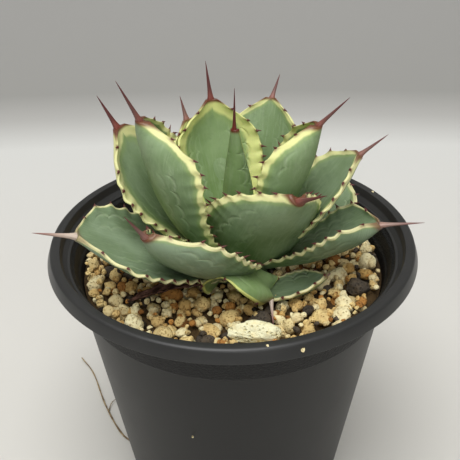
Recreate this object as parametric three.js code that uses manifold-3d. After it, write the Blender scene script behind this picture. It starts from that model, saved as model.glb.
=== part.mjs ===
// A young agave in a round plastic nursery pot.
// Millimetres, +Z up. The origin is the middle of the pot's base, which stands on z = 0.
// Seen from the front, along +Y, +X is to the right.

import * as THREE from 'three';
import { mergeVertices } from 'three/addons/utils/BufferGeometryUtils.js';
import Module from 'manifold-3d';

const wasm = await Module();
wasm.setup();

// ---- Driving dimensions -------------------------------------------------------------------

const potHeight = 105;
const rimRadius = 60; // outer edge of the flat lip
const lipWidth = 2.9;
const lipBevel = 0.5;
const lipHeel = 0.7; // the lip's inner wall ends at this share of its depth and width
const skirtFlare = 1.5; // the skirt's lower edge stands this far outside the lip
const skirtDrop = 4.2;
const ledgeDrop = 1.7; // inner ledge under the lip, below the skirt's edge
const collarRadius = 54.2; // outside of the grained collar, just under the skirt
const collarDrop = 18.5; // lower edge of the collar, below the rim
const collarStep = 0.5; // how far the collar stands out from the wall below it
const baseRadius = 39;
const baseBevel = 1.5;
const wallThickness = 1.2;
const floorThickness = 2;
const stackingStep = 0.8; // inner step that a pot stacked inside rests on
const stackingDrop = 9.8;
const drainHoleRadius = 3;
const drainHoleCount = 8;
const drainRingRadius = 24;

const soilDrop = 11; // potting mix level at the wall, below the rim
const soilCrown = 1; // the mix rises this much towards the plant
const crownRadius = 24; // and is level inside this radius

const plantX = 4; // the rosette stands a little off the pot's axis
const plantY = -4;
const stemRadius = 8;
const stemFootRadius = 5.6;
const stemTopRadius = 3.5;
const stemHeight = 11; // above the mix
const stemDepth = 14; // below the mix

const leafThickness = 4.2; // at the midrib of a full-size leaf's base
const tipThickness = 2.4;
const marginThickness = 0.9;
const fullWidth = 38; // leaf width at which those thicknesses are right
const spineRadius = 1.25; // at the base of a full-size spine
const spineTaper = 0.8; // below 1 the spine narrows late
const spinePoint = 0.12; // radius of its blunt point

const gap = 0.3; // between pieces that touch
const sliver = 0.1; // detail finer than this is dropped after a cut

// ---- Leaves --------------------------------------------------------------------------------
// heading: direction in degrees from +X, turning towards +Y.
// offset: where the leaf's own axis stands, away from the rosette's.
// reach: where the leaf starts, out from the rosette's axis. rise: the same, up from the mix.
// pitch: slope in degrees at the base and at the tip. ease: how late the slope changes.
// taper: below 1 the leaf is widest nearer its base, above 1 nearer its tip.
// bend: how far the heading turns along the leaf. roll: tilt about the midrib at base and tip.
// cup: how far the two halves curl up from the midrib, in degrees, at base and tip.
// cw, ccw: share of the half width on the clockwise and the counterclockwise side.
// wave: height of the margin's waves, how many along the leaf, and where they start.
// spine: length, and its pitch and heading measured from the leaf's tip.
// The list runs from the innermost leaf to the outermost.

const leaves = [
  { name: 'centre_bud', heading: 250, reach: 0, offset: [-2.8, -1], rise: 12, length: 39,
    width: 13, taper: 0.3, pitch: [88, 92], cup: [85, 85], spine: [13, 0, 0] },
  { name: 'leaf_back_centre', heading: 117, reach: 1, rise: 8.5, length: 50, width: 34,
    taper: 0.9, pitch: [39, 82], bend: -8, roll: [4, 4], cup: [50, 45], cw: 0.9, ccw: 1.1,
    spine: [12.5, -6, 10] },
  { name: 'leaf_right_inner', heading: -5, reach: 2, rise: 7, length: 50, width: 36,
    pitch: [54, 80], roll: [-4, -16], cup: [60, 78], cw: 1.05, spine: [12.5, -34, 0] },
  { name: 'leaf_back_right', heading: 71, reach: 4, offset: [0.5, 7], rise: 2.5, length: 51,
    width: 29, pitch: [60, 62], roll: [0, -5], cup: [45, 40], spine: [9, -12, -12] },
  { name: 'leaf_left_inner', heading: 194, reach: 2, rise: 5, length: 62, width: 42, taper: 1.15,
    pitch: [34, 89], bend: 5, roll: [-16, 5], cup: [44, 66], ccw: 1.05, spine: [14, -24, 0] },
  { name: 'leaf_back_left', heading: 132, reach: 2, rise: 7, length: 46, width: 34, taper: 0.9,
    pitch: [50, 64], cup: [45, 35], spine: [8, 4, 0] },
  { name: 'leaf_front', heading: -67, reach: 4, rise: 4.5, length: 47, width: 46, taper: 0.5,
    pitch: [59, 48], bend: 9, roll: [-16, -16], cup: [34, 58], cw: 0.9, ccw: 0.85,
    spine: [11, -18, 12] },
  { name: 'leaf_right_outer', heading: 3, reach: 3, rise: 3.5, length: 50, width: 31,
    pitch: [42, 57], bend: -2, roll: [9, 0], cup: [34, 25], spine: [10.5, -17, -3] },
  { name: 'leaf_left_outer', heading: 161, reach: 3, rise: 5, length: 58, width: 46, taper: 0.85,
    pitch: [25, 71], bend: 9, roll: [0, -12], cup: [54, 24], cw: 0.9, ccw: 1.1,
    spine: [12, -9, 3] },
  { name: 'leaf_low_back', heading: 92, reach: 4, rise: 0, length: 50, width: 36, taper: 0.9,
    pitch: [12, 24], cup: [45, 30], spine: [12, 0, 0] },
  { name: 'leaf_low_back_right', heading: 44, reach: 4, rise: 0, length: 50, width: 36,
    taper: 0.9, pitch: [14, 22], cup: [45, 30], spine: [12, 0, 0] },
  { name: 'leaf_small_front', heading: -64, reach: 6, offset: [-6, 0], rise: 9, length: 24,
    width: 32, pitch: [22, -48], bend: 16, roll: [0, -55], cup: [-75, -20], cw: 1.3, ccw: 0.75,
    wave: [4.5, 1.25, 0.45], spine: [9, 28, -40] },
  { name: 'leaf_front_left', heading: 240, reach: 4, rise: 5, length: 53, width: 35, taper: 0.7,
    pitch: [16, 63], ease: 1.3, bend: -17, roll: [5, 9], cup: [16, 68], cw: 0.9, ccw: 1.05,
    spine: [10.5, -7, -6] },
  { name: 'leaf_right_low', heading: -12, reach: 4, rise: 4, length: 43, width: 35, taper: 1.3,
    pitch: [15, 34], bend: 2, roll: [-12, 3], cup: [15, 82], cw: 1.15, ccw: 0.7,
    spine: [13.5, -23, -4] },
  { name: 'leaf_left_low', heading: 202, reach: 5, rise: 0.5, length: 56, width: 44, taper: 1.1,
    pitch: [26, 31], bend: 3, roll: [-2, -7], cup: [20, 22], cw: 0.85, ccw: 1.05,
    spine: [13.5, -9, 4] },
  { name: 'leaf_low_back_left', heading: 136, reach: 4, rise: 0, length: 48, width: 36,
    taper: 0.9, pitch: [14, 20], cup: [45, 30], spine: [12, 0, 0] },
  { name: 'leaf_small_right', heading: -31, reach: 7, offset: [-5.5, -7], rise: 0, length: 27,
    width: 19, pitch: [2, 21], bend: 54, roll: [8, -20], cup: [5, 44], cw: 1.1, ccw: 0.8,
    spine: [1.5, 0, 0] },
];

// Half width along a leaf, as a share of its greatest half width: [how far along, share].
const outline = [
  [0, 0.36], [0.18, 0.58], [0.36, 0.8], [0.54, 0.96], [0.68, 1],
  [0.8, 0.9], [0.89, 0.62], [0.955, 0.3], [1, 0.1],
];
const bladeRows = 10;
const acrossColumns = 6;
const spineRows = 4;
const potSides = 56;
const mixSides = 40;
const stemSides = 16;
const drainHoleSides = 12;

// ---- Shared helpers ------------------------------------------------------------------------

const rad = THREE.MathUtils.degToRad;
const mix = THREE.MathUtils.lerp;
const rimZ = potHeight;
const soilZ = potHeight - soilDrop;
const crownZ = soilZ + soilCrown;

function bodyFromLoops(loops) {
  // Skins a row of closed loops, all with the same number of points, and caps both ends.
  // The loops run clockwise seen from the first one.
  const count = loops[0].length;
  const points = loops.flat();
  const faces = [];
  const middle = (loop) => loop.reduce((sum, p) => sum.add(p), new THREE.Vector3()).divideScalar(count);
  for (let row = 0; row + 1 < loops.length; row += 1) {
    for (let i = 0; i < count; i += 1) {
      const a = row * count + i;
      const b = row * count + ((i + 1) % count);
      faces.push(a, b + count, b, a, a + count, b + count);
    }
  }
  const first = points.push(middle(loops[0])) - 1;
  const last = points.push(middle(loops.at(-1))) - 1;
  const lastRow = (loops.length - 1) * count;
  for (let i = 0; i < count; i += 1) {
    const next = (i + 1) % count;
    faces.push(first, i, next, last, lastRow + next, lastRow + i);
  }
  const geometry = new THREE.BufferGeometry().setFromPoints(points);
  geometry.setIndex(faces);
  return geometry;
}

function solidOf(geometry) {
  const bare = geometry.clone();
  bare.deleteAttribute('normal');
  bare.deleteAttribute('uv');
  const merged = mergeVertices(bare, 1e-4);
  return new wasm.Manifold(new wasm.Mesh({
    numProp: 3,
    vertProperties: new Float32Array(merged.attributes.position.array),
    triVerts: new Uint32Array(merged.index.array),
  }));
}

function largestPiece(solid) {
  // Drops slivers and crumbs left by a cut.
  const pieces = solid.simplify(sliver).decompose();
  return pieces.reduce((best, piece) => (piece.volume() > best.volume() ? piece : best));
}

function geometryOf(solid) {
  const mesh = solid.getMesh();
  const geometry = new THREE.BufferGeometry();
  geometry.setAttribute('position', new THREE.BufferAttribute(mesh.vertProperties, 3));
  geometry.setIndex(new THREE.BufferAttribute(mesh.triVerts, 1));
  return geometry;
}

function boxesMeet(a, b) {
  const p = a.boundingBox();
  const q = b.boundingBox();
  return [0, 1, 2].every((i) => p.min[i] <= q.max[i] && q.min[i] <= p.max[i]);
}

function cutBy(solid, others) {
  return others.reduce((rest, other) => (boxesMeet(rest, other) ? rest.subtract(other) : rest), solid);
}

function lathe(profile, segments) {
  const points = profile.map(([r, z]) => new THREE.Vector2(r, z));
  return new THREE.LatheGeometry(points, segments).rotateX(Math.PI / 2);
}

function makeRandom(seed) {
  let state = seed;
  return () => {
    state = (state * 1664525 + 1013904223) % 4294967296;
    return state / 4294967296;
  };
}

// ---- Pot -----------------------------------------------------------------------------------

const collarZ = rimZ - collarDrop;
const skirtZ = rimZ - skirtDrop;

function wallRadius(z) {
  // Outside of the plain tapered wall, without the collar.
  return mix(baseRadius, collarRadius - collarStep, z / skirtZ);
}

function boreRadius(z) {
  // Inside of the pot, below the stacking step.
  return wallRadius(z) + collarStep - wallThickness - stackingStep * Math.min(1, (rimZ - z) / stackingDrop);
}

function makePot() {
  const lipInner = rimRadius - lipWidth;
  const stepZ = rimZ - stackingDrop;
  const profile = [
    [0, 0], [baseRadius - baseBevel, 0], [wallRadius(baseBevel), baseBevel],
    [wallRadius(collarZ), collarZ], [wallRadius(collarZ) + collarStep, collarZ + collarStep],
    [collarRadius, skirtZ], [rimRadius + skirtFlare, skirtZ],
    [rimRadius + lipBevel / 2, rimZ - lipBevel], [rimRadius - lipBevel, rimZ], [lipInner, rimZ],
    [lipInner - lipBevel, rimZ - skirtDrop * lipHeel], [lipInner - lipWidth * lipHeel, skirtZ],
    [collarRadius - wallThickness, skirtZ - ledgeDrop],
    [boreRadius(stepZ) + stackingStep, stepZ], [boreRadius(stepZ), stepZ - stackingStep],
    [boreRadius(floorThickness), floorThickness], [0, floorThickness],
  ];
  const drill = (angle) => solidOf(
    new THREE.CylinderGeometry(drainHoleRadius, drainHoleRadius, floorThickness * 3, drainHoleSides)
      .rotateX(Math.PI / 2)
      .translate(drainRingRadius * Math.cos(angle), drainRingRadius * Math.sin(angle), 0),
  );
  const step = (2 * Math.PI) / drainHoleCount;
  const holes = Array.from({ length: drainHoleCount }, (_, i) => drill(i * step));
  return cutBy(solidOf(lathe(profile, potSides)), holes);
}

// ---- Plant ---------------------------------------------------------------------------------

function outlineAt(along) {
  // Smooth curve through the outline's points.
  const i = Math.min(outline.length - 2, outline.findLastIndex(([t]) => t <= along));
  const slope = (k) => {
    const [t0, w0] = outline[Math.max(0, k - 1)];
    const [t1, w1] = outline[Math.min(outline.length - 1, k + 1)];
    return (w1 - w0) / (t1 - t0);
  };
  const [t0, w0] = outline[i];
  const [t1, w1] = outline[i + 1];
  const step = t1 - t0;
  const u = (along - t0) / step;
  return w0 * (2 * u ** 3 - 3 * u ** 2 + 1) + w1 * (3 * u ** 2 - 2 * u ** 3)
    + step * (slope(i) * (u ** 3 - 2 * u ** 2 + u) + slope(i + 1) * (u ** 3 - u ** 2));
}

function direction(heading, pitch) {
  const h = rad(heading);
  const p = rad(pitch);
  return new THREE.Vector3(Math.cos(p) * Math.cos(h), Math.cos(p) * Math.sin(h), Math.sin(p));
}

function leafFrame(leaf, along) {
  // Directions at a point of the midrib: forward, up out of the top face, and to the clockwise side.
  const [pitch0, pitch1] = leaf.pitch;
  const [roll0, roll1] = leaf.roll ?? [0, 0];
  const pitch = mix(pitch0, pitch1, along ** (leaf.ease ?? 1));
  const heading = leaf.heading + (leaf.bend ?? 0) * along;
  const forward = direction(heading, pitch);
  const side = direction(heading - 90, 0);
  const up = direction(heading, pitch + 90);
  const roll = rad(mix(roll0, roll1, along));
  return {
    pitch, heading, forward,
    up: up.clone().multiplyScalar(Math.cos(roll)).addScaledVector(side, Math.sin(roll)),
    side: side.clone().multiplyScalar(Math.cos(roll)).addScaledVector(up, -Math.sin(roll)),
  };
}

function leafSolid(leaf, swell = 0) {
  // A leaf with its end spine. swell grows it on every side, for the room it takes from others.
  const size = leaf.width / fullWidth;
  const [cup0, cup1] = leaf.cup;
  const [offsetX, offsetY] = leaf.offset ?? [0, 0];
  const [waveHeight, waveCount, waveStart] = leaf.wave ?? [0, 0, 0];
  const place = new THREE.Vector3(plantX + offsetX, plantY + offsetY, soilZ + leaf.rise)
    .addScaledVector(direction(leaf.heading, 0), leaf.reach);
  const loops = [];
  for (let row = 0; row < bladeRows; row += 1) {
    const along = row / (bladeRows - 1);
    const { up, side } = leafFrame(leaf, along);
    if (row > 0) {
      const { forward } = leafFrame(leaf, along - 0.5 / (bladeRows - 1));
      place.addScaledVector(forward, leaf.length / (bladeRows - 1));
    }
    const cup = rad(mix(cup0, cup1, along));
    const middle = mix(leafThickness, tipThickness, along) * Math.sqrt(size);
    const lift = waveHeight * Math.sin(2 * Math.PI * (waveCount * along + waveStart));
    const loop = [];
    for (const face of [1, -1]) {
      for (let i = 0; i < acrossColumns; i += 1) {
        const across = face * (1 - (2 * i) / (acrossColumns - 1));
        const share = across > 0 ? leaf.cw ?? 1 : leaf.ccw ?? 1;
        const half = (leaf.width / 2) * outlineAt(along ** (leaf.taper ?? 1)) * share + swell;
        const turn = cup * across;
        const depth = face > 0 ? swell : -mix(marginThickness, middle, 1 - across ** 2) - swell;
        loop.push(place.clone()
          .addScaledVector(side, (half * Math.sin(turn)) / cup - depth * Math.sin(turn))
          .addScaledVector(up, (half * (1 - Math.cos(turn))) / cup + depth * Math.cos(turn))
          .addScaledVector(up, lift * across ** 2));
      }
    }
    loops.push(loop);
  }
  const { pitch, heading, side } = leafFrame(leaf, 1);
  const [spineLength, spinePitch, spineHeading] = leaf.spine;
  const spineForward = direction(heading + spineHeading, pitch + spinePitch);
  const spineUp = new THREE.Vector3().crossVectors(side, spineForward).normalize();
  const spineSide = new THREE.Vector3().crossVectors(spineForward, spineUp);
  const radius = spineRadius * Math.sqrt(size);
  place.addScaledVector(spineUp, -tipThickness * Math.sqrt(size) * 0.5);
  for (let row = 1; row <= spineRows; row += 1) {
    const along = row / spineRows;
    const r = radius * (1 - along) ** spineTaper + spinePoint + swell;
    const out = spineLength * along + (row === spineRows ? swell : 0);
    const centre = place.clone().addScaledVector(spineForward, out);
    const loop = [];
    for (let i = 0; i < 2 * acrossColumns; i += 1) {
      const angle = (Math.PI * (i + 0.5)) / acrossColumns;
      loop.push(centre.clone()
        .addScaledVector(spineSide, r * Math.cos(angle))
        .addScaledVector(spineUp, r * Math.sin(angle)));
    }
    loops.push(loop);
  }
  return solidOf(bodyFromLoops(loops));
}

function stemSolid(swell = 0) {
  const profile = [
    [0, crownZ - stemDepth - swell], [stemFootRadius + swell, crownZ - stemDepth - swell],
    [stemRadius + swell, crownZ], [stemTopRadius + swell, crownZ + stemHeight + swell],
    [0, crownZ + stemHeight + swell],
  ];
  return solidOf(lathe(profile, stemSides).translate(plantX, plantY, 0));
}

// ---- Potting mix and what lies on it -------------------------------------------------------

function stoneSolid(stone, swell = 0) {
  const random = makeRandom(stone.seed);
  const ball = new THREE.IcosahedronGeometry(1, 1).deleteAttribute('normal').deleteAttribute('uv');
  const geometry = mergeVertices(ball);
  const { position } = geometry.attributes;
  const [a, b, c] = stone.size;
  for (let i = 0; i < position.count; i += 1) {
    const rough = 1 + stoneRoughness * (random() - 0.7);
    position.setX(i, position.getX(i) * (rough * a / 2 + swell));
    position.setY(i, position.getY(i) * (rough * b / 2 + swell));
    position.setZ(i, position.getZ(i) * (rough * c / 2 + swell));
  }
  const [x, y] = stone.place;
  return solidOf(geometry.rotateZ(rad(stone.turn)).translate(x, y, crownZ + stone.rise));
}

const stoneRoughness = 0.2;
const stones = [
  { name: 'pumice_stone', kind: 'pumice', seed: 11,
    place: [6, -42], rise: 1.5, size: [16, 8, 7.5], turn: 4 },
  { name: 'lava_stone_right', kind: 'lava', seed: 23,
    place: [40, -18], rise: 0.5, size: [9, 7, 6], turn: 30 },
  { name: 'lava_stone_front', kind: 'lava', seed: 5,
    place: [8, -33], rise: -0.5, size: [8, 6, 5], turn: -15 },
];

const witheredLeafWidth = 7;
const witheredTipWidth = 1.2;
const witheredThickness = 1.4;
const witheredRows = 8;
// The withered leaf's route from base to tip: x, y and height above the mix.
const witheredLeaf = [[-10, -16, 1.6], [-18, -19, 1.9], [-26, -22, 1.6], [-33, -26, 1.2]];

function witheredLeafSolid(swell = 0) {
  // A shrunken old leaf, a flat strip that narrows to its tip.
  const points = witheredLeaf.map(([x, y, up]) => new THREE.Vector3(x, y, crownZ + up));
  const curve = new THREE.CatmullRomCurve3(points);
  const loops = [];
  for (let row = 0; row <= witheredRows; row += 1) {
    const along = row / witheredRows;
    const centre = curve.getPointAt(along);
    const forward = curve.getTangentAt(along);
    const side = new THREE.Vector3().crossVectors(forward, new THREE.Vector3(0, 0, 1)).normalize();
    const half = mix(witheredLeafWidth, witheredTipWidth, along) / 2 + swell;
    const thick = witheredThickness / 2 + swell;
    const section = [
      [half, 0], [half / 2, thick], [-half / 2, thick],
      [-half, 0], [-half / 2, -thick], [half / 2, -thick],
    ];
    const up = new THREE.Vector3(0, 0, 1);
    loops.push(section.map(([s, u]) => centre.clone().addScaledVector(side, s).addScaledVector(up, u)));
  }
  return solidOf(bodyFromLoops(loops));
}

const rootRadius = 0.4;
const rootSides = 6;
const rootSteps = 18;
const rootStartY = 4;
const rootLift = 0.1; // between the root and the surface
// The root's route: out from the base's edge, along +Y and up from the surface.
const rootPath = [[0.6, -0.1, 0], [8, 6, 0], [17, 22, 0.6], [25.5, 43, 0.3], [32.5, 53, 1.2]];

function dryRootSolid() {
  // A thin dry root that has grown out under the base and lies on the surface beside the pot.
  const points = rootPath.map(([out, along, up]) => (
    new THREE.Vector3(-(baseRadius + gap + out), rootStartY + along, rootRadius + rootLift + up)
  ));
  const curve = new THREE.CatmullRomCurve3(points);
  const section = new THREE.Shape();
  for (let i = 0; i < rootSides; i += 1) {
    const angle = (i * 2 * Math.PI) / rootSides;
    const [x, y] = [rootRadius * Math.cos(angle), rootRadius * Math.sin(angle)];
    if (i === 0) section.moveTo(x, y);
    else section.lineTo(x, y);
  }
  section.closePath();
  const settings = { extrudePath: curve, steps: rootSteps, bevelEnabled: false };
  return solidOf(new THREE.ExtrudeGeometry(section, settings));
}

function pottingMixSolid() {
  const levels = [floorThickness + gap, mix(floorThickness, soilZ, 0.5), soilZ];
  const profile = [
    [0, levels[0]], ...levels.map((z) => [boreRadius(z) - gap, z]),
    [crownRadius, crownZ], [0, crownZ],
  ];
  return solidOf(lathe(profile, mixSides));
}

// ---- Assembly ------------------------------------------------------------------------------

const finish = {
  pot: { color: 0x2b2b2c, roughness: 0.55, metalness: 0 },
  mix: { color: 0xb79a6c, roughness: 0.95, metalness: 0 },
  leaf: { color: 0x7d9a80, roughness: 0.6, metalness: 0 },
  stem: { color: 0x8f9a6a, roughness: 0.8, metalness: 0 },
  pumice: { color: 0xd9c9a3, roughness: 0.95, metalness: 0 },
  lava: { color: 0x3a3c3c, roughness: 0.9, metalness: 0 },
  withered: { color: 0x4d342b, roughness: 0.85, metalness: 0 },
  root: { color: 0xa08c68, roughness: 0.9, metalness: 0 },
};

const group = new THREE.Group();

function add(name, solid, kind) {
  const mesh = new THREE.Mesh(geometryOf(solid), new THREE.MeshStandardMaterial(finish[kind]));
  mesh.name = name;
  group.add(mesh);
}

add('pot', makePot(), 'pot');
add('stem', stemSolid(), 'stem');

const taken = [stemSolid(gap)]; // what each next piece keeps clear of
for (const leaf of leaves) {
  add(leaf.name, largestPiece(cutBy(leafSolid(leaf), taken)), 'leaf');
  taken.push(leafSolid(leaf, gap).add(leafSolid(leaf)));
}
add('withered_leaf', largestPiece(cutBy(witheredLeafSolid(), taken)), 'withered');
taken.push(witheredLeafSolid(gap));
for (const stone of stones) {
  add(stone.name, largestPiece(cutBy(stoneSolid(stone), taken)), stone.kind);
  taken.push(stoneSolid(stone, gap));
}
add('potting_mix', largestPiece(cutBy(pottingMixSolid(), taken)), 'mix');
add('dry_root', dryRootSolid(), 'root');

export default group;
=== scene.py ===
"""A young agave with cream margins, in a black nursery pot of gritty potting mix."""

import math

import bmesh
import bpy
import numpy as np
from mathutils import Matrix, Vector
from mathutils.bvhtree import BVHTree


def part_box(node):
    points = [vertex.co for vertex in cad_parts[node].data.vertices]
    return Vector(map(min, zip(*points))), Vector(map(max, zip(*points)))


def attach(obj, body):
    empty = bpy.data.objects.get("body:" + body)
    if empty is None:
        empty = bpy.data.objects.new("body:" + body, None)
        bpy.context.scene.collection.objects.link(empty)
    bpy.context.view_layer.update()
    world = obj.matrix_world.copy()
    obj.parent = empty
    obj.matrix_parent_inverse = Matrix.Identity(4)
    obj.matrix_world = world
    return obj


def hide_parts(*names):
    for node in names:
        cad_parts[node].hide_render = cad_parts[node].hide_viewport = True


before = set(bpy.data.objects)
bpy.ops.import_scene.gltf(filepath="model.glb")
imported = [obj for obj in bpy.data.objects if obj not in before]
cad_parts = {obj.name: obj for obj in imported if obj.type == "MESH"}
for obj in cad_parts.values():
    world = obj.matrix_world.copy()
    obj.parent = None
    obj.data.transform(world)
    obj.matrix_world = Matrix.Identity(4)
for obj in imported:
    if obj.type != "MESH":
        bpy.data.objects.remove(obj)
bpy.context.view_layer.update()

MM = 0.001
ROOT = "root"

# ---- Sizes, in millimetres ----------------------------------------------------------------

RIM_Z = 105.0
RIM_RADIUS = 60.0
LIP_WIDTH = 2.9
SKIRT_FLARE = 1.5
SKIRT_DROP = 4.2
COLLAR_RADIUS = 54.2
COLLAR_DROP = 18.5
COLLAR_STEP = 0.5
BASE_RADIUS = 39.0
WALL = 1.2
FLOOR = 2.0
STACKING_STEP = 0.8
STACKING_DROP = 9.8
DRAIN_RADIUS = 3.0
DRAIN_COUNT = 8
DRAIN_RING = 24.0

SOIL_Z = RIM_Z - 11.0
SOIL_GAP = 0.3  # between the mix and the pot
BED_Z = SOIL_Z - 2.2  # the bed under the loose grains
CROWN_Z = SOIL_Z + 1.0
PLANT = (4.0, -4.0)
LEAF_THICKNESS = 4.2
TIP_THICKNESS = 2.4
MARGIN_THICKNESS = 0.9
MARGIN_ROUNDING = 0.3
FULL_WIDTH = 38.0
SPINE_RADIUS = 1.25
SPINE_SINK = 0.28  # share of a spine's length that is inside its leaf
SPINE_TURN = 0.5  # share of its length over which it turns to its own direction
SPINE_FLATNESS = 0.86
PRINT_PITCH = 5.2  # length of one scallop of a print line
PRINT_HEIGHT = 1.5
PRINT_WIDTH = 0.5
PRINT_LINES = ((0.62, 0.95), (0.34, 0.6))  # place as a share of the half width, and strength
SCALLOP_DEPTH = 0.13  # of the distance between two teeth
SCALLOP_ROUND = 2.6  # 2 for a parabola, more for a flatter arc with sharper cusps
SCALLOP_START = 0.18  # how far along a leaf the scallops begin
SCALLOP_FADE = 0.32  # and over how much of it they reach their full depth
SWELL_HEIGHTS = (0.28, 0.2)  # broad and fine undulations of a leaf's skin
CURL_HEIGHT = 0.55  # the margin's rise and fall beside each tooth
CURL_PITCH = 2.6
CURL_REACH = 5
TOOTH_LENGTHS = (1.3, 2.1)
TOOTH_SINK = 0.35
TEETH_SPAN = (0.2, 0.93)  # how far along a leaf the first and last teeth stand

AXIS_RADIUS = 0.01  # so near a turned body's axis that the cap closes it
POT_SIDES = 192
DRILL_SIDES = 32
BED_SIDES = 96
STEM_SIDES = 32
STRAND_SIDES = 10
TOOTH_SIDES = 7

# Sections of a tooth from root to point: (share of its length, radius).
TOOTH_SECTIONS = ((0, 0.5), (0.22, 0.34), (0.5, 0.22), (0.8, 0.11), (1, 0.03))
# The stem's profile: (radius, height above the crown).
STEM_PROFILE = ((AXIS_RADIUS, 11), (3.5, 11), (8, 0), (5.6, -14), (AXIS_RADIUS, -14))

# Half width along a leaf, as a share of its greatest half width: (how far along, share).
OUTLINE = (
    (0, 0.36), (0.18, 0.58), (0.36, 0.8), (0.54, 0.96), (0.68, 1),
    (0.8, 0.9), (0.89, 0.62), (0.955, 0.3), (1, 0.1),
)

# heading: direction from +X towards +Y; pitch: slope at base and tip; ease: how late the slope
# changes; taper: below 1 it is widest nearer its base; bend: turn of the heading along the leaf;
# roll: tilt about the midrib; cup: curl of each half; cw, ccw: share of the half width on either
# side; wave: height, count and phase of the margins' waves; spine: length, then pitch and heading
# from the tip's own. cream: width of the pale margin. youth: 0 for an old grey leaf, 1 for a
# fresh one. horn: 0 for a dark red spine, 1 for a bleached one. teeth: how many on each margin.
LEAVES = {
    "centre_bud": dict(
        heading=250, reach=0, offset=(-2.8, -1), rise=12, length=39, width=13, taper=0.3,
        pitch=(88, 92), cup=(85, 85), spine=(13, 0, 0), cream=0.4, youth=0.8, horn=0, teeth=0),
    "leaf_back_centre": dict(
        heading=117, reach=1, rise=8.5, length=50, width=34, taper=0.9, pitch=(39, 82),
        bend=-8, roll=(4, 4), cup=(50, 45), cw=0.9, ccw=1.1, spine=(12.5, -6, 10), cream=6,
        youth=0.7, horn=0.05, teeth=9),
    "leaf_right_inner": dict(
        heading=-5, reach=2, rise=7, length=50, width=36, pitch=(54, 80), roll=(-4, -16),
        cup=(60, 78), cw=1.05, spine=(12.5, -34, 0), cream=2.4, youth=0.55, horn=0.1,
        teeth=9),
    "leaf_back_right": dict(
        heading=71, reach=4, offset=(0.5, 7), rise=2.5, length=51, width=29, pitch=(60, 62),
        roll=(0, -5), cup=(45, 40), spine=(9, -12, -12), cream=2.4, youth=0.4, horn=0.15,
        teeth=9),
    "leaf_left_inner": dict(
        heading=194, reach=2, rise=5, length=62, width=42, taper=1.15, pitch=(34, 89), bend=5,
        roll=(-16, 5), cup=(44, 66), ccw=1.05, spine=(14, -24, 0), cream=2.2, youth=0.4,
        horn=0.1, teeth=10),
    "leaf_back_left": dict(
        heading=132, reach=2, rise=7, length=46, width=34, taper=0.9, pitch=(50, 64),
        cup=(45, 35), spine=(8, 4, 0), cream=2.4, youth=0.5, horn=0.2, teeth=9),
    "leaf_front": dict(
        heading=-67, reach=4, rise=4.5, length=47, width=46, taper=0.5, pitch=(59, 48), bend=9,
        roll=(-16, -16), cup=(34, 58), cw=0.9, ccw=0.85, spine=(11, -18, 12), cream=2,
        youth=0.3, horn=0.1, teeth=10),
    "leaf_right_outer": dict(
        heading=3, reach=3, rise=3.5, length=50, width=31, pitch=(42, 57), bend=-2,
        roll=(9, 0), cup=(34, 25), spine=(10.5, -17, -3), cream=2.6, youth=0.25, horn=0.2,
        teeth=9),
    "leaf_left_outer": dict(
        heading=161, reach=3, rise=5, length=58, width=46, taper=0.85, pitch=(25, 71), bend=9,
        roll=(0, -12), cup=(54, 24), cw=0.9, ccw=1.1, spine=(12, -9, 3), cream=7, youth=0.35,
        horn=0.05, teeth=10),
    "leaf_low_back": dict(
        heading=92, reach=4, rise=0, length=50, width=36, taper=0.9, pitch=(12, 24),
        cup=(45, 30), spine=(12, 0, 0), cream=2.4, youth=0.2, horn=0.6, teeth=9),
    "leaf_low_back_right": dict(
        heading=44, reach=4, rise=0, length=50, width=36, taper=0.9, pitch=(14, 22),
        cup=(45, 30), spine=(12, 0, 0), cream=2.4, youth=0.15, horn=0.6, teeth=9),
    "leaf_small_front": dict(
        heading=-64, reach=6, offset=(-6, 0), rise=9, length=24, width=32, pitch=(22, -48),
        bend=16, roll=(0, -55), cup=(-75, -20), cw=1.3, ccw=0.75, wave=(4.5, 1.25, 0.45),
        spine=(9, 28, -40), cream=0.6, youth=0.9, horn=1, teeth=4),
    "leaf_front_left": dict(
        heading=240, reach=4, rise=5, length=53, width=35, taper=0.7, pitch=(16, 63), ease=1.3,
        bend=-17, roll=(5, 9), cup=(16, 68), cw=0.9, ccw=1.05, spine=(10.5, -7, -6), cream=1.1,
        youth=0.1, horn=0.2, teeth=8),
    "leaf_right_low": dict(
        heading=-12, reach=4, rise=4, length=43, width=35, taper=1.3, pitch=(15, 34), bend=2,
        roll=(-12, 3), cup=(15, 82), cw=1.15, ccw=0.7, spine=(13.5, -23, -4), cream=0.8,
        youth=0.1, horn=0.4, teeth=8),
    "leaf_left_low": dict(
        heading=202, reach=5, rise=0.5, length=56, width=44, taper=1.1, pitch=(26, 31), bend=3,
        roll=(-2, -7), cup=(20, 22), cw=0.85, ccw=1.05, spine=(13.5, -9, 4), cream=0.9,
        youth=0.1, horn=1, teeth=9),
    "leaf_low_back_left": dict(
        heading=136, reach=4, rise=0, length=48, width=36, taper=0.9, pitch=(14, 20),
        cup=(45, 30), spine=(12, 0, 0), cream=2.2, youth=0.1, horn=0.8, teeth=9),
    "leaf_small_right": dict(
        heading=-31, reach=7, offset=(-5.5, -7), rise=0, length=27, width=19, pitch=(2, 21),
        bend=54, roll=(8, -20), cup=(5, 44), cw=1.1, ccw=0.8, spine=(1.5, 0, 0), cream=1,
        youth=0.05, horn=0.6, teeth=6),
}


# ---- Materials ----------------------------------------------------------------------------


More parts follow.
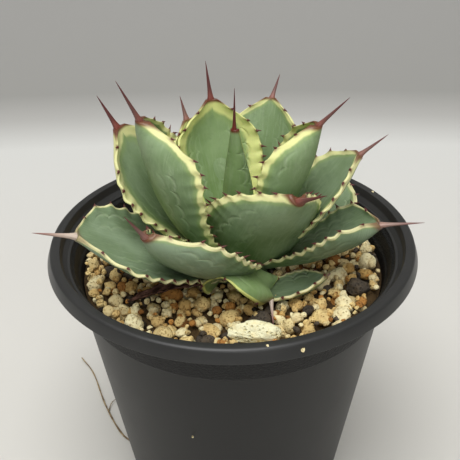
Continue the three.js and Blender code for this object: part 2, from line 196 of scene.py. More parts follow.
class Wire:
    """A socket in a material's node tree. Arithmetic on wires adds Math nodes."""

    def __init__(self, tree, socket=None):
        self.tree, self.socket = tree, socket

    def node(self, kind, settings=None, inputs=None, output=0):
        """Adds a node, sets it up, then fills its sockets with values or wires."""
        made = self.tree.nodes.new(kind)
        for key, value in (settings or {}).items():
            if key == "stops":
                ramp = made.color_ramp
                while len(ramp.elements) < len(value):
                    ramp.elements.new(1)
                for element, (place, colour) in zip(ramp.elements, value):
                    element.position, element.color = place, (*colour, 1)
            else:
                setattr(made, key, value)
        for key, value in (inputs or {}).items():
            if isinstance(value, Wire):
                self.tree.links.new(value.socket, made.inputs[key])
            else:
                made.inputs[key].default_value = value
        return Wire(self.tree, made.outputs[output])

    def math(self, operation, *values):
        return self.node("ShaderNodeMath", {"operation": operation}, dict(enumerate(values)))

    def __add__(self, other):
        return self.math("ADD", self, other)

    __radd__ = __add__

    def __mul__(self, other):
        return self.math("MULTIPLY", self, other)

    def __sub__(self, other):
        return self.math("SUBTRACT", self, other)

    def __rsub__(self, other):
        return self.math("SUBTRACT", other, self)

    def step(self, low, high):
        """0 below low, 1 above high, smooth between."""
        return self.node(
            "ShaderNodeMapRange", {"interpolation_type": "SMOOTHSTEP"},
            {"Value": self, "From Min": low, "From Max": high})

    def attribute(self, name, output="Fac"):
        return self.node("ShaderNodeAttribute", {"attribute_name": name}, output=output)

    def noise(self, scale, detail=3.0, rough=0.55, *, at):
        inputs = {"Scale": scale, "Detail": detail, "Roughness": rough, "Vector": at}
        return self.node("ShaderNodeTexNoise", None, inputs, "Fac")

    def cells(self, scale, at):
        inputs = {"Scale": scale, "Vector": at}
        return self.node("ShaderNodeTexVoronoi", {"feature": "F1"}, inputs, "Distance")

    def stretched(self, at, scale):
        """Coordinates multiplied along each axis."""
        return self.node(
            "ShaderNodeVectorMath", {"operation": "MULTIPLY"}, {0: at, 1: scale})

    def blend(self, factor, low, high, how="MIX"):
        """Mixes two colours, each a wire or a linear RGB triple."""
        settings = {"data_type": "RGBA", "blend_type": how}
        sides = {
            key: side if isinstance(side, Wire) else (*side, 1)
            for key, side in ((6, low), (7, high))}
        return self.node("ShaderNodeMix", settings, {0: factor, **sides}, 2)

    def place(self):
        """Where the point is in the row's frame, in metres."""
        return self.node("ShaderNodeTexCoord", output="Object")

    def bump(self, height, distance, strength, under=None):
        inputs = {"Height": height, "Distance": distance, "Strength": strength}
        if under is not None:
            inputs["Normal"] = under
        return self.node("ShaderNodeBump", None, inputs)

    def surface(self, **inputs):
        """The finished shader: inputs are the Principled BSDF's sockets, with _ for a space."""
        named = {key.replace("_", " "): value for key, value in inputs.items()}
        shader = self.node("ShaderNodeBsdfPrincipled", None, named)
        out = self.tree.nodes.new("ShaderNodeOutputMaterial")
        self.tree.links.new(shader.socket, out.inputs["Surface"])


def srgb(red, green, blue):
    """Linear colour from the 0 to 255 values that a paint chart gives."""
    return tuple(
        c / 12.92 if c <= 0.04045 else ((c + 0.055) / 1.055) ** 2.4
        for c in (red / 255, green / 255, blue / 255))


def new_material(name):
    material = bpy.data.materials.new(name)
    material.use_nodes = True
    material.node_tree.nodes.clear()
    return material, Wire(material.node_tree)


def leaf_flesh():
    """Waxy grey-green skin with a cream margin, prints of its neighbours and horny edges."""
    material, w = new_material("leaf_flesh")
    skin = w.attribute("skin", "Vector")
    rim = w.attribute("rim")
    youth = w.attribute("youth")
    along = w.attribute("along")
    horn = w.attribute("horn")
    print_line = w.attribute("print_line")
    wander = w.noise(160, at=skin) - 0.5
    cloud = w.noise(70, 4, at=skin)
    streaks = w.noise(1.0, 3, at=w.stretched(skin, (1500, 160, 900)))
    # The waxy bloom greys the skin in clouds; its share from along is painted shade, darker and
    # greener towards each leaf's base.
    bloom_and_base_shade = cloud.step(0.32, 0.7) * 0.5 + along.step(0.1, 0.9) * 0.5
    old = w.blend(bloom_and_base_shade, srgb(78, 100, 54), srgb(136, 154, 128))
    fresh = w.blend(bloom_and_base_shade, srgb(98, 130, 62), srgb(148, 174, 116))
    mottle = w.noise(420, 4, 0.7, at=skin).step(0.5, 0.75)
    green = w.blend(youth, old, fresh)
    green = w.blend(streaks.step(0.45, 0.75) * 0.28, green, srgb(160, 176, 144))
    green = w.blend(mottle * 0.22, green, srgb(74, 96, 56))
    green = w.blend(print_line * 0.5, green, srgb(176, 194, 156))
    cream = w.blend(youth, srgb(236, 230, 178), srgb(214, 222, 124))
    edge = rim + wander * 0.9
    flush = 1 - edge.step(1.0, 1.7)
    pale = 1 - edge.step(0.62, 1.02)
    colour = w.blend(flush * 0.4, green, srgb(150, 172, 96))
    colour = w.blend(pale * 0.94, colour, cream)
    colour = w.blend(horn, colour, srgb(100, 44, 28))
    skin_grain = w.noise(2600, 3, at=skin)
    relief = skin_grain * 0.25 + streaks * 0.3 + cloud * 0.6 - print_line * 2
    w.surface(
        Base_Color=colour,
        Roughness=0.62 - horn * 0.25 - cloud * 0.12,
        Normal=w.bump(relief, 0.00022, 0.8),
        Subsurface_Weight=0.08, Subsurface_Radius=(0.002, 0.003, 0.001), Subsurface_Scale=1.0,
        Specular_IOR_Level=0.38)
    return material


def spine_horn():
    """Hard spine: dark red when young, bleached grey-pink with age, darker at the point."""
    material, w = new_material("spine_horn")
    skin = w.attribute("skin", "Vector")
    age = w.attribute("horn")
    along = w.attribute("along")
    fibres = w.noise(1.0, 3, at=w.stretched(skin, (1800, 200, 1800)))
    young = w.blend(along.step(0.0, 0.35), srgb(120, 44, 30), srgb(86, 22, 24))
    bleached = w.blend(along.step(0.1, 0.9), srgb(206, 188, 172), srgb(150, 108, 100))
    colour = w.blend(age, young, bleached)
    colour = w.blend(fibres.step(0.4, 0.8) * 0.35, colour, srgb(60, 30, 26))
    w.surface(
        Base_Color=colour, Roughness=0.42 + fibres * 0.15, Normal=w.bump(fibres, 0.00012, 0.6),
        Specular_IOR_Level=0.5)
    return material


def pot_plastic():
    """Black moulded plastic: satin wall, finely grained collar, scuffed and dusty in places; the
    rim is painted lighter grey as a painted reflection.
    """
    material, w = new_material("pot_plastic")
    at = w.place()
    height = w.node("ShaderNodeSeparateXYZ", None, {0: at}, "Z")
    collar = height.step((RIM_Z - COLLAR_DROP - 0.2) * MM, (RIM_Z - COLLAR_DROP + 0.2) * MM)
    collar = collar * (1 - height.step((RIM_Z - SKIRT_DROP - 1) * MM, (RIM_Z - SKIRT_DROP) * MM))
    grain = w.cells(1500, at) + w.noise(1900, 2, at=at) * 0.8
    haze = w.noise(35, 5, 0.6, at=at)
    scuffs = w.noise(1.0, 4, 0.7, at=w.stretched(at, (60, 60, 900)))
    dust = w.noise(420, 4, 0.75, at=at).step(0.66, 0.8)
    colour = w.blend(haze.step(0.35, 0.75) * 0.6, srgb(10, 10, 10), srgb(20, 20, 19))
    colour = w.blend(dust * 0.16, colour, srgb(140, 130, 110))
    # Painted reflection: the band above the skirt is painted lighter grey for the light the rim
    # catches, and made a little glossier.
    rim_sheen = height.step((RIM_Z - SKIRT_DROP - 0.3) * MM, (RIM_Z - SKIRT_DROP) * MM)
    colour = w.blend(rim_sheen * (0.4 + haze * 0.5), colour, srgb(56, 56, 55))
    fine = w.noise(700, 4, at=at)
    relief = w.bump(fine * 0.3 + scuffs * 0.25, 0.00005, 0.5)
    w.surface(
        Base_Color=colour,
        Roughness=0.4 + haze * 0.12 + collar * 0.16 + dust * 0.2 - rim_sheen * 0.1,
        Normal=w.bump(grain * collar, 0.00022, 0.9, relief),
        Specular_IOR_Level=0.36)
    return material


def mineral(name, light, dark, speck, pore_scale, depth):
    """A grain's or stone's crust, in a colour between light and dark, different on every grain."""
    material, w = new_material(name)
    at = w.place()
    tone = w.attribute("tone")
    blotch = w.noise(420, 4, 0.65, at=at)
    grit = w.noise(2400, 4, 0.7, at=at)
    pores = w.cells(pore_scale, at).step(0.08, 0.42)
    colour = w.blend(tone, light, dark)
    colour = w.blend(blotch.step(0.42, 0.72) * 0.45, colour, speck)
    # Painted shade: the colour is darkened in the pits of the pores.
    colour = w.blend((1 - pores) * 0.5, colour, dark, "MULTIPLY")
    colour = w.blend(grit.step(0.5, 0.8) * 0.25, colour, light)
    w.surface(
        Base_Color=colour, Roughness=0.94,
        Normal=w.bump(pores * 0.8 + grit * 0.5 + blotch * 0.6, depth, 0.9),
        Specular_IOR_Level=0.25)
    return material


def dry_tissue(name, light, dark):
    """Shrivelled leaf or root."""
    material, w = new_material(name)
    at = w.place()
    mottle = w.noise(350, 4, 0.65, at=at)
    fibres = w.noise(2200, 3, at=at)
    w.surface(
        Base_Color=w.blend(mottle.step(0.35, 0.68), dark, light),
        Roughness=0.8, Normal=w.bump(fibres + mottle, 0.00025, 0.8), Specular_IOR_Level=0.3)
    return material


# The paper's colour by distance from the object, in metres: painted light and shade, a bright pool
# round the object that drops to darker paper further out.
PAPER_LIGHT_POOL = (
    (0.0, srgb(212, 210, 203)), (0.15, srgb(216, 214, 208)), (0.3, srgb(222, 222, 218)),
    (0.355, srgb(189, 188, 184)), (0.41, srgb(167, 166, 162)), (0.8, srgb(190, 189, 186)),
)


def studio_paper():
    """Pale table that runs up into a wall, with a painted pool of light round the object and
    painted shade away from it.
    """
    material, w = new_material("studio_paper")
    at = w.place()
    flattened = w.stretched(at, (0.45, 1, 1))
    distance = w.node("ShaderNodeVectorMath", {"operation": "LENGTH"}, {0: flattened}, "Value")
    painted_light_pool = w.node("ShaderNodeValToRGB", {"stops": PAPER_LIGHT_POOL}, {"Fac": distance})
    w.surface(Base_Color=painted_light_pool, Roughness=0.9, Specular_IOR_Level=0.1)
    return material


FLESH = leaf_flesh()
HORN = spine_horn()
PLASTIC = pot_plastic()
CREAM_GRAIN = mineral(
    "cream_grain", srgb(255, 244, 196), srgb(226, 202, 142), srgb(200, 160, 94), 1100, 0.0006)
TAN_GRAIN = mineral(
    "tan_grain", srgb(244, 218, 152), srgb(206, 166, 98), srgb(164, 116, 58), 1300, 0.0006)
CLAY_GRAIN = mineral(
    "clay_grain", srgb(204, 146, 76), srgb(138, 92, 46), srgb(104, 70, 40), 1500, 0.0005)
DARK_GRAIN = mineral(
    "dark_grain", srgb(84, 76, 66), srgb(38, 34, 30), srgb(110, 92, 68), 1200, 0.0005)
PUMICE = mineral(
    "pumice", srgb(255, 252, 214), srgb(252, 238, 176), srgb(240, 212, 134), 900, 0.0008)
SOIL = mineral("soil_dust", srgb(104, 82, 50), srgb(52, 40, 26), srgb(76, 56, 32), 1600, 0.0004)
WITHERED = dry_tissue("withered_tissue", srgb(128, 92, 78), srgb(56, 34, 26))
ROOT_SKIN = dry_tissue("root_skin", srgb(176, 156, 120), srgb(112, 92, 66))


# ---- Shapes -------------------------------------------------------------------------------


def new_object(name, data):
    made = bpy.data.objects.new(name, data)
    bpy.context.scene.collection.objects.link(made)
    return made


class Shell:
    """Vertices, faces and painted values of one piece, gathered patch by patch, in mm."""

    def __init__(self):
        self.points, self.faces, self.slots, self.values = [], [], [], []
        self.count = 0

    def add(self, points, faces, slot=0, **values):
        points = np.asarray(points, float).reshape(-1, 3)
        self.faces += [tuple(int(i) + self.count for i in face) for face in faces]
        self.slots += [slot] * len(faces)
        self.values.append({k: np.asarray(v, float) for k, v in values.items()})
        self.points.append(points)
        self.count += len(points)

    def loft(self, loops, slot=0, **values):
        """Skins closed loops that run clockwise seen from the first, and caps both ends."""
        loops = np.asarray(loops, float)
        rows, around = loops.shape[:2]
        faces = [
            (r * around + i, (r + 1) * around + i, (r + 1) * around + j, r * around + j)
            for r in range(rows - 1)
            for i, j in ((i, (i + 1) % around) for i in range(around))]
        last = (rows - 1) * around
        faces += [tuple(range(around)), tuple(last + i for i in reversed(range(around)))]
        self.add(loops, faces, slot, **values)

    def build(self, name, materials, record_slot, nodes=()):
        """Makes the Blender object, on the object's one body."""
        mesh = bpy.data.meshes.new(name)
        mesh.from_pydata(np.concatenate(self.points) * MM, [], self.faces)
        for material in materials:
            mesh.materials.append(material)
        mesh.polygons.foreach_set("material_index", self.slots)
        mesh.polygons.foreach_set("use_smooth", [True] * len(self.faces))
        for field in sorted({key for patch in self.values for key in patch}):
            self.paint(mesh, field)
        mesh.validate()
        piece = new_object(name, mesh)
        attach(piece, ROOT)
        if nodes:
            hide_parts(*nodes)
        return piece

    def paint(self, mesh, field):
        """Writes one painted value to every vertex; a patch without it gets 0."""
        vector = field == "skin"
        width = 3 if vector else 1
        parts = []
        for patch, points in zip(self.values, self.points):
            value = patch.get(field, np.zeros(width))
            parts.append(np.broadcast_to(value.reshape(-1, width), (len(points), width)))
        kind, key = ("FLOAT_VECTOR", "vector") if vector else ("FLOAT", "value")
        layer = mesh.attributes.new(field, kind, "POINT")
        layer.data.foreach_set(key, np.concatenate(parts).ravel())


def unit(vectors):
    return vectors / np.linalg.norm(vectors, axis=-1, keepdims=True)


def direction(heading, pitch):
    """Unit vectors for headings and pitches in degrees."""
    h, p = np.radians(heading), np.radians(pitch)
    return np.stack([np.cos(p) * np.cos(h), np.cos(p) * np.sin(h), np.sin(p) + 0 * h], -1)


def smooth_step(x):
    x = np.clip(x, 0, 1)
    return x * x * (3 - 2 * x)


def outline_at(along):
    """Smooth curve through the outline's points."""
    knots, shares = np.array(OUTLINE).T
    slopes = np.empty_like(shares)
    slopes[1:-1] = (shares[2:] - shares[:-2]) / (knots[2:] - knots[:-2])
    slopes[0] = (shares[1] - shares[0]) / (knots[1] - knots[0])
    slopes[-1] = (shares[-1] - shares[-2]) / (knots[-1] - knots[-2])
    i = np.clip(np.searchsorted(knots, along, side="right") - 1, 0, len(knots) - 2)
    step = knots[i + 1] - knots[i]
    u = (along - knots[i]) / step
    return (
        shares[i] * (2 * u**3 - 3 * u**2 + 1) + shares[i + 1] * (3 * u**2 - 2 * u**3)
        + step * (slopes[i] * (u**3 - 2 * u**2 + u) + slopes[i + 1] * (u**3 - u**2)))


class Leaf:
    """One leaf of the rosette: its midrib, its frame along the midrib, and its skin."""

    ROWS, COLUMNS = 132, 81
    COLUMN_EASE = 0.86  # how much closer the columns stand towards the margins
    SPINE_ROWS, SPINE_SIDES = 26, 16
    MIDRIB_STEPS = 240

    def __init__(self, name, seed, heading, reach, rise, length, width, pitch, cup, spine, cream,
                 youth, horn, teeth, offset=(0, 0), taper=1, bend=0, ease=1, roll=(0, 0), cw=1,
                 ccw=1, wave=(0, 0, 0)):
        self.name, self.random = name, np.random.default_rng(seed)
        self.heading, self.pitch, self.bend, self.ease = heading, pitch, bend, ease
        self.roll, self.cup, self.length, self.width = roll, cup, length, width
        self.shares, self.taper, self.wave = {1: cw, -1: ccw}, taper, wave
        self.spine, self.cream, self.youth, self.horn = spine, cream, youth, horn
        self.size = width / FULL_WIDTH
        start = np.array([PLANT[0] + offset[0], PLANT[1] + offset[1], SOIL_Z + rise])
        self.start = start + reach * direction(heading, 0)
        self.phases = self.random.uniform(0, 2 * np.pi, 8)
        margin = np.linspace(*TEETH_SPAN, max(teeth, 1))
        gap = margin[1] - margin[0] if teeth > 1 else 0
        self.tooth_places = {
            side: margin + self.random.uniform(-0.16, 0.16, len(margin)) * gap
            for side in (1, -1)} if teeth else {1: np.array([]), -1: np.array([])}

    def frame_at(self, along):
        """Forward, out of the top face, and to the clockwise side, for each place along."""
        pitch = self.pitch[0] + (self.pitch[1] - self.pitch[0]) * along**self.ease
        heading = self.heading + self.bend * along
        forward, up = direction(heading, pitch), direction(heading, pitch + 90)
        side = direction(heading - 90, 0 * pitch)
        roll = np.radians(self.roll[0] + (self.roll[1] - self.roll[0]) * along)[..., None]
        return (
            forward, up * np.cos(roll) + side * np.sin(roll),
            side * np.cos(roll) - up * np.sin(roll), pitch, heading)

    def midrib(self, along):
        """Points of the midrib, which is walked in short steps along its heading and pitch."""
        steps = self.MIDRIB_STEPS
        middles = (np.arange(steps) + 0.5) / steps
        walk = np.cumsum(self.frame_at(middles)[0], 0) * self.length / steps
        walk = self.start + np.vstack([np.zeros(3), walk])
        ends = np.linspace(0, 1, steps + 1)
        return np.stack([np.interp(along, ends, walk[:, k]) for k in range(3)], -1)

    def recess(self, along, side):
        """How far the margin draws in between its teeth, and how near the closest tooth is."""
        places = self.tooth_places[side]
        if not len(places):
            return 0 * along, np.full_like(along, 99.0)
        knots = np.concatenate([[places[0] - 0.1], places, [1.0]])
        i = np.clip(np.searchsorted(knots, along, side="right") - 1, 0, len(knots) - 2)
        u = np.clip((along - knots[i]) / (knots[i + 1] - knots[i]), 0, 1)
        inside = (along > knots[0]) & (along < places[-1])
        depth = SCALLOP_DEPTH * (knots[i + 1] - knots[i]) * self.length
        scoop = np.where(inside, depth * (1 - np.abs(2 * u - 1) ** SCALLOP_ROUND), 0)
        near = np.abs(along[..., None] - places).min(-1) * self.length
        return scoop, near

    def loops(self):
        """Cross sections from base to tip: over the top face, round one margin and back under."""
        along = np.linspace(0, 1, self.ROWS)[:, None]
        spread = np.linspace(-1, 1, self.COLUMNS)
        ease = self.COLUMN_EASE
        spread = np.sin(spread * np.pi / 2 * ease) / np.sin(np.pi / 2 * ease)
        across = np.concatenate([-spread, [-1.0], spread, [1.0]])[None, :]
        face = np.concatenate([np.ones(self.COLUMNS), [0], -np.ones(self.COLUMNS), [0]])[None, :]
        _, up, side, _, _ = (v[:, 0][:, None] for v in self.frame_at(along))
        middle = self.midrib(along[:, 0])[:, None]
        outline = outline_at(along**self.taper)
        scoops = {s: self.recess(along[:, 0], s) for s in (1, -1)}
        right = across > 0
        scoop = np.where(right, scoops[1][0][:, None], scoops[-1][0][:, None])
        near = np.where(right, scoops[1][1][:, None], scoops[-1][1][:, None])
        share = np.where(right, self.shares[1], self.shares[-1])
        half = self.width / 2 * outline * share
        scoop = scoop * np.minimum(1, half / 4)
        scoop = scoop * smooth_step((along - SCALLOP_START) / SCALLOP_FADE)
        edge = (1 - np.abs(across)) * half - 0.35 * scoop
        across = across * (1 - scoop / half * np.abs(across) ** 8)
        rounding = np.where(face == 0, MARGIN_ROUNDING, 0)
        cup = np.radians(self.cup[0] + (self.cup[1] - self.cup[0]) * along)
        turn = cup * across
        thick = LEAF_THICKNESS + (TIP_THICKNESS - LEAF_THICKNESS) * along
        thick = thick * math.sqrt(self.size)
        thin = MARGIN_THICKNESS * 0.8
        body = thin + (thick - thin) * (1 - across**2)
        depth = np.where(face > 0, 0, np.where(face < 0, -body, -body / 2))
        p = self.phases
        broad, fine = SWELL_HEIGHTS
        swell = broad * np.sin(7 * along + 2.2 * across + p[0]) * np.sin(3 * across + p[1])
        swell = swell + fine * np.sin(16 * along + p[2]) * np.sin(5 * across + p[3])
        curl = CURL_HEIGHT * np.abs(across) ** 7 * np.cos(np.pi * near / CURL_PITCH)
        curl = curl * (near < CURL_REACH)
        depth = depth + (swell * (1 - across**4) + curl) * self.size * np.sin(np.pi * along) ** 0.5
        reach = (half + rounding) * np.sin(turn) / cup
        lift = (half + rounding) * (1 - np.cos(turn)) / cup
        points = (
            middle + side * (reach - depth * np.sin(turn))[..., None]
            + up * (lift + depth * np.cos(turn))[..., None])
        height, count, phase = self.wave
        waves = height * np.sin(2 * np.pi * (count * along + phase)) * across**2
        points = points + up * waves[..., None]
        return along, across, face, half, near, edge, points

    def print_lines(self, along, across, face, half):
        """Faint scalloped lines that the neighbours' margins pressed into the bud's leaves."""
        line = np.zeros(np.broadcast(along, across).shape)
        for k, (share, strength) in enumerate(PRINT_LINES):
            for side in (1, -1):
                lean = share + 0.06 * np.sin(5 * along + self.phases[4 + k] + side)
                turns = along * self.length / PRINT_PITCH + self.phases[6] + k
                hem = np.abs(np.sin(np.pi * turns)) ** 0.6
                place = lean * half + PRINT_HEIGHT * hem
                away = side * across * half - place
                seen = smooth_step((along - 0.12) / 0.15) * smooth_step((0.9 - along) / 0.12)
                seen = seen * (0.6 + 0.4 * np.sin(9 * along + 2.6 * side + self.phases[5]))
                weight = strength * np.where(face == 0, 0, 1)
                line = np.maximum(line, weight * seen * np.exp(-((away / PRINT_WIDTH) ** 2)))
        return line

    def build(self):
        shell = Shell()
        along, across, face, half, near, edge, points = self.loops()
        shape = points.shape[:2]
        to_tip = (1 - along) * self.length
        tip_horn = smooth_step(1.2 - to_tip / (1.2 + 1.6 * np.abs(across) ** 8))
        tooth_horn = np.exp(-((near / 0.6) ** 2) - (edge / 0.55) ** 2)
        horn = np.clip(np.maximum(tip_horn, tooth_horn * 0.85), 0, 1) * (1 - 0.45 * self.horn)
        skin = np.stack(np.broadcast_arrays(
            across * half * MM, along * self.length * MM, face * 0.03 + self.phases[0]), -1)
        shell.loft(
            points, 0, skin=skin, rim=(edge / self.cream).ravel(),
            youth=np.full(shape, self.youth).ravel(),
            along=np.broadcast_to(along, shape).ravel(),
            horn=horn.ravel(),
            print_line=self.print_lines(along, across, face, half).ravel())
        self.add_spine(shell)
        self.add_teeth(shell, points)
        shell.build(self.name + "_flesh", [FLESH, HORN], "leaf_tissue", [self.name])

    def add_spine(self, shell):
        """The end spine: a slender cone that grows out of the narrowed tip."""
        one = np.array([1.0])
        forward, up, side, pitch, heading = (v[0] for v in self.frame_at(one))
        length, pitch_turn, heading_turn = self.spine
        ahead = direction(heading + heading_turn, pitch + pitch_turn)
        radius = SPINE_RADIUS * math.sqrt(self.size)
        start = self.midrib(one)[0] - up * TIP_THICKNESS * math.sqrt(self.size) * 0.5
        rows, around = self.SPINE_ROWS, self.SPINE_SIDES
        loops, places = [], np.linspace(-SPINE_SINK, 1, rows)
        angle = 2 * np.pi * (np.arange(around) + 0.5) / around
        for u in places:
            turn = smooth_step((u + SPINE_SINK) / SPINE_TURN)
            lean = unit(forward * (1 - turn) + ahead * turn)
            if u < 0:
                centre = start + forward * length * u
                r = radius * (1 + 0.6 * u)
            else:
                centre = start + ahead * length * u
                r = radius * (0.68 * (1 - u) ** 0.9 + 0.32 * math.exp(-u / 0.1)) + 0.05
            v = unit(np.cross(side, lean))
            s = np.cross(lean, v)
            groove = 1 - 0.16 * np.exp(-(((angle - np.pi / 2) / 0.5) ** 2)) * (1 - max(u, 0))
            ring = np.cos(angle)[:, None] * s + SPINE_FLATNESS * np.sin(angle)[:, None] * v
            loops.append(centre + r * groove[:, None] * ring)
        grow = np.repeat(np.clip(places, 0, 1), around)
        skin = np.stack([
            np.tile(np.cos(angle), rows) * radius * MM, np.repeat(places, around) * length * MM,
            np.tile(np.sin(angle), rows) * radius * MM], -1)
        shell.loft(loops, 1, skin=skin, along=grow, horn=np.full(rows * around, self.horn))

    def add_teeth(self, shell, points):
        """Small dark hooked teeth, one on each bump of the margins."""
        mid = {-1: self.COLUMNS, 1: 2 * self.COLUMNS + 1}
        inner = {-1: self.COLUMNS - 5, 1: 4}
        rows = np.linspace(0, 1, self.ROWS)
        for side in (1, -1):
            for place in self.tooth_places[side]:
                row = int(round(np.interp(place, rows, np.arange(self.ROWS))))
                root = points[row, mid[side]]
                out = unit(root - points[row, inner[side]])
                forward, up, _, _, _ = (v[0] for v in self.frame_at(np.array([place])))
                lean = self.random.uniform(-0.35, 0.45)
                aim = unit(out + forward * lean + up * self.random.uniform(-0.1, 0.3))
                hook = forward * self.random.choice([-0.35, 0.35], p=[0.6, 0.4])
                length = self.random.uniform(*TOOTH_LENGTHS) * math.sqrt(self.size)
                length *= 0.65 + 0.5 * math.sin(math.pi * min(place, 0.85))
                self.add_tooth(shell, root - out * TOOTH_SINK, aim, forward, hook, length)

    @staticmethod
    def add_tooth(shell, root, aim, forward, hook, length):
        """A flattened cone from root towards aim, whose point leans by hook."""
        u = unit(forward - aim * (forward @ aim))
        v = np.cross(u, aim)
        angle = 2 * np.pi * np.arange(TOOTH_SIDES) / TOOTH_SIDES
        ring = np.cos(angle)[:, None] * u * 1.15 + np.sin(angle)[:, None] * v * 0.8
        loops = [
            root + aim * length * t + hook * length * t * t * 0.5 + r * ring
            for t, r in TOOTH_SECTIONS]
        count = TOOTH_SIDES * len(TOOTH_SECTIONS)
        shell.loft(
            loops, 1, along=np.full(count, 0.75), horn=np.full(count, 0.06),
            skin=np.tile(np.array([0, length * MM, 0]), (count, 1)))


def turned_body(profile, segments):
    """Loops of a profile of (radius, height), from its first point to its last."""
    angle = -2 * np.pi * np.arange(segments) / segments
    return [
        np.stack([r * np.cos(angle), r * np.sin(angle), z + 0 * angle], -1) for r, z in profile]


def rounded(profile, size=0.35, steps=3):
    """Replaces each inner corner of a profile with a short arc."""
    points = [np.array(p, float) for p in profile]
    out = [points[0]]
    for before, corner, after in zip(points, points[1:], points[2:]):
        back, ahead = before - corner, after - corner
        reach = min(size, np.linalg.norm(back) * 0.45, np.linalg.norm(ahead) * 0.45)
        a, b = corner + unit(back) * reach, corner + unit(ahead) * reach
        for t in np.linspace(0, 1, steps + 1):
            out.append((1 - t) ** 2 * a + 2 * t * (1 - t) * corner + t * t * b)
    return [*out, points[-1]]


def wall_radius(z):
    """Outside of the plain tapered wall, without the collar."""
    return BASE_RADIUS + (COLLAR_RADIUS - COLLAR_STEP - BASE_RADIUS) * z / (RIM_Z - SKIRT_DROP)


def bore_radius(z):
    """Inside of the pot, below the stacking step."""
    step = STACKING_STEP * min(1, (RIM_Z - z) / STACKING_DROP)
    return wall_radius(z) + COLLAR_STEP - WALL - step


def build_pot():
    """The moulded pot, with its drain holes cut through the base."""
    collar_z, skirt_z, step_z = RIM_Z - COLLAR_DROP, RIM_Z - SKIRT_DROP, RIM_Z - STACKING_DROP
    lip = RIM_RADIUS - LIP_WIDTH
    outside = [
        (AXIS_RADIUS, 0), (BASE_RADIUS - 1.5, 0), (wall_radius(1.5), 1.5),
        (wall_radius(collar_z), collar_z), (wall_radius(collar_z) + COLLAR_STEP, collar_z + 0.5),
        (COLLAR_RADIUS, skirt_z), (RIM_RADIUS + SKIRT_FLARE, skirt_z),
        (RIM_RADIUS + 0.25, RIM_Z - 0.5), (RIM_RADIUS - 0.5, RIM_Z), (lip, RIM_Z),
        (lip - 0.5, RIM_Z - SKIRT_DROP * 0.7), (lip - LIP_WIDTH * 0.7, skirt_z),
        (COLLAR_RADIUS - WALL, skirt_z - 1.7), (bore_radius(step_z) + STACKING_STEP, step_z),
        (bore_radius(step_z), step_z - STACKING_STEP), (bore_radius(FLOOR), FLOOR),
        (AXIS_RADIUS, FLOOR)]
    shell = Shell()
    shell.loft(turned_body(rounded(outside), POT_SIDES)[::-1])
    pot = shell.build("pot_moulding", [PLASTIC], "pot_plastic", ["pot"])
    drills = Shell()
    for angle in 2 * np.pi * np.arange(DRAIN_COUNT) / DRAIN_COUNT:
        centre = np.array([DRAIN_RING * np.cos(angle), DRAIN_RING * np.sin(angle), 0])
        drill = turned_body([(DRAIN_RADIUS, -FLOOR), (DRAIN_RADIUS, 2 * FLOOR)], DRILL_SIDES)
        drills.loft(np.array(drill) + centre)
    mesh = bpy.data.meshes.new("drills")
    mesh.from_pydata(np.concatenate(drills.points) * MM, [], drills.faces)
    tool = new_object("drills", mesh)
    cut = pot.modifiers.new("drain holes", "BOOLEAN")
    cut.object, cut.operation, cut.solver = tool, "DIFFERENCE", "EXACT"
    drilled = pot.evaluated_get(bpy.context.evaluated_depsgraph_get())
    pot.data = bpy.data.meshes.new_from_object(drilled)
    pot.modifiers.clear()
    bpy.data.objects.remove(tool)


def ball(level):
    """Directions and faces of an evenly meshed ball."""
    mesh = bmesh.new()
    bmesh.ops.create_icosphere(mesh, subdivisions=level, radius=1)
    points = np.array([v.co for v in mesh.verts])
    faces = [tuple(v.index for v in f.verts) for f in mesh.faces]
    mesh.free()
    return points, faces


def rippled(random, directions, radius, count, ripples):
    """Radius with sets of count crossing waves added, each set a (waves, height) pair."""
    for waves, height in ripples:
        swing = directions @ random.normal(size=(3, count)) * waves + random.uniform(0, 6, count)
        radius = radius + height * np.sin(swing).mean(1)
    return radius


def chipped(random, directions, chips=11, low=0.6):
    """Radius in each direction of a round lump with flat chips knocked off it."""
    normals = unit(random.normal(size=(chips, 3)))
    facing = np.maximum(directions @ normals.T, 0.05)
    cut = random.uniform(low, 0.98, chips) / facing
    radius = np.minimum(1.0, cut.min(1))
    return rippled(random, directions, radius, 4, ((3.0, 0.06), (7.0, 0.045), (15.0, 0.03)))


def build_stone(node, material, slot, seed, level=5):
    """A single stone that fills its CAD solid's box."""
    random = np.random.default_rng(seed)
    low, high = (np.array(v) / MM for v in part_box(node))
    directions, faces = ball(level)
    radius = chipped(random, directions, 16, 0.62)
    radius = rippled(random, directions, radius, 6, ((14.0, 0.03), (30.0, 0.018)))
    shape = directions * radius[:, None]
    shape = (shape - shape.min(0)) / (shape.max(0) - shape.min(0))
    shell = Shell()
    shell.add(low + shape * (high - low), faces, tone=np.full(len(shape), 0.15))
    shell.build(node + "_rough", [material], slot, [node])


def nearby(tree, place):
    """Distance in mm from a place to the surface held in a tree."""
    found = tree.find_nearest(Vector(place) * MM)
    return found[3] / MM if found[0] is not None else 99.0


# Each kind of grain with its share of the mix.
GRAIN_KINDS = (
    ("cream_grains", CREAM_GRAIN, 0.42), ("tan_grains", TAN_GRAIN, 0.36),
    ("clay_grains", CLAY_GRAIN, 0.12), ("dark_grains", DARK_GRAIN, 0.1))
# Each layer's height from the mix's level, how many places are tried, and its range of radii.
GRAIN_LAYERS = ((-1.8, 1500, 1.8, 2.8), (0.0, 3600, 1.9, 3.7), (0.4, 1700, 0.7, 1.4))

LARGE_GRAIN_SHARE = 0.06
LARGE_GRAIN_SCALE = 1.2
GRAIN_SPACING = 0.86  # of the sum of two neighbours' radii


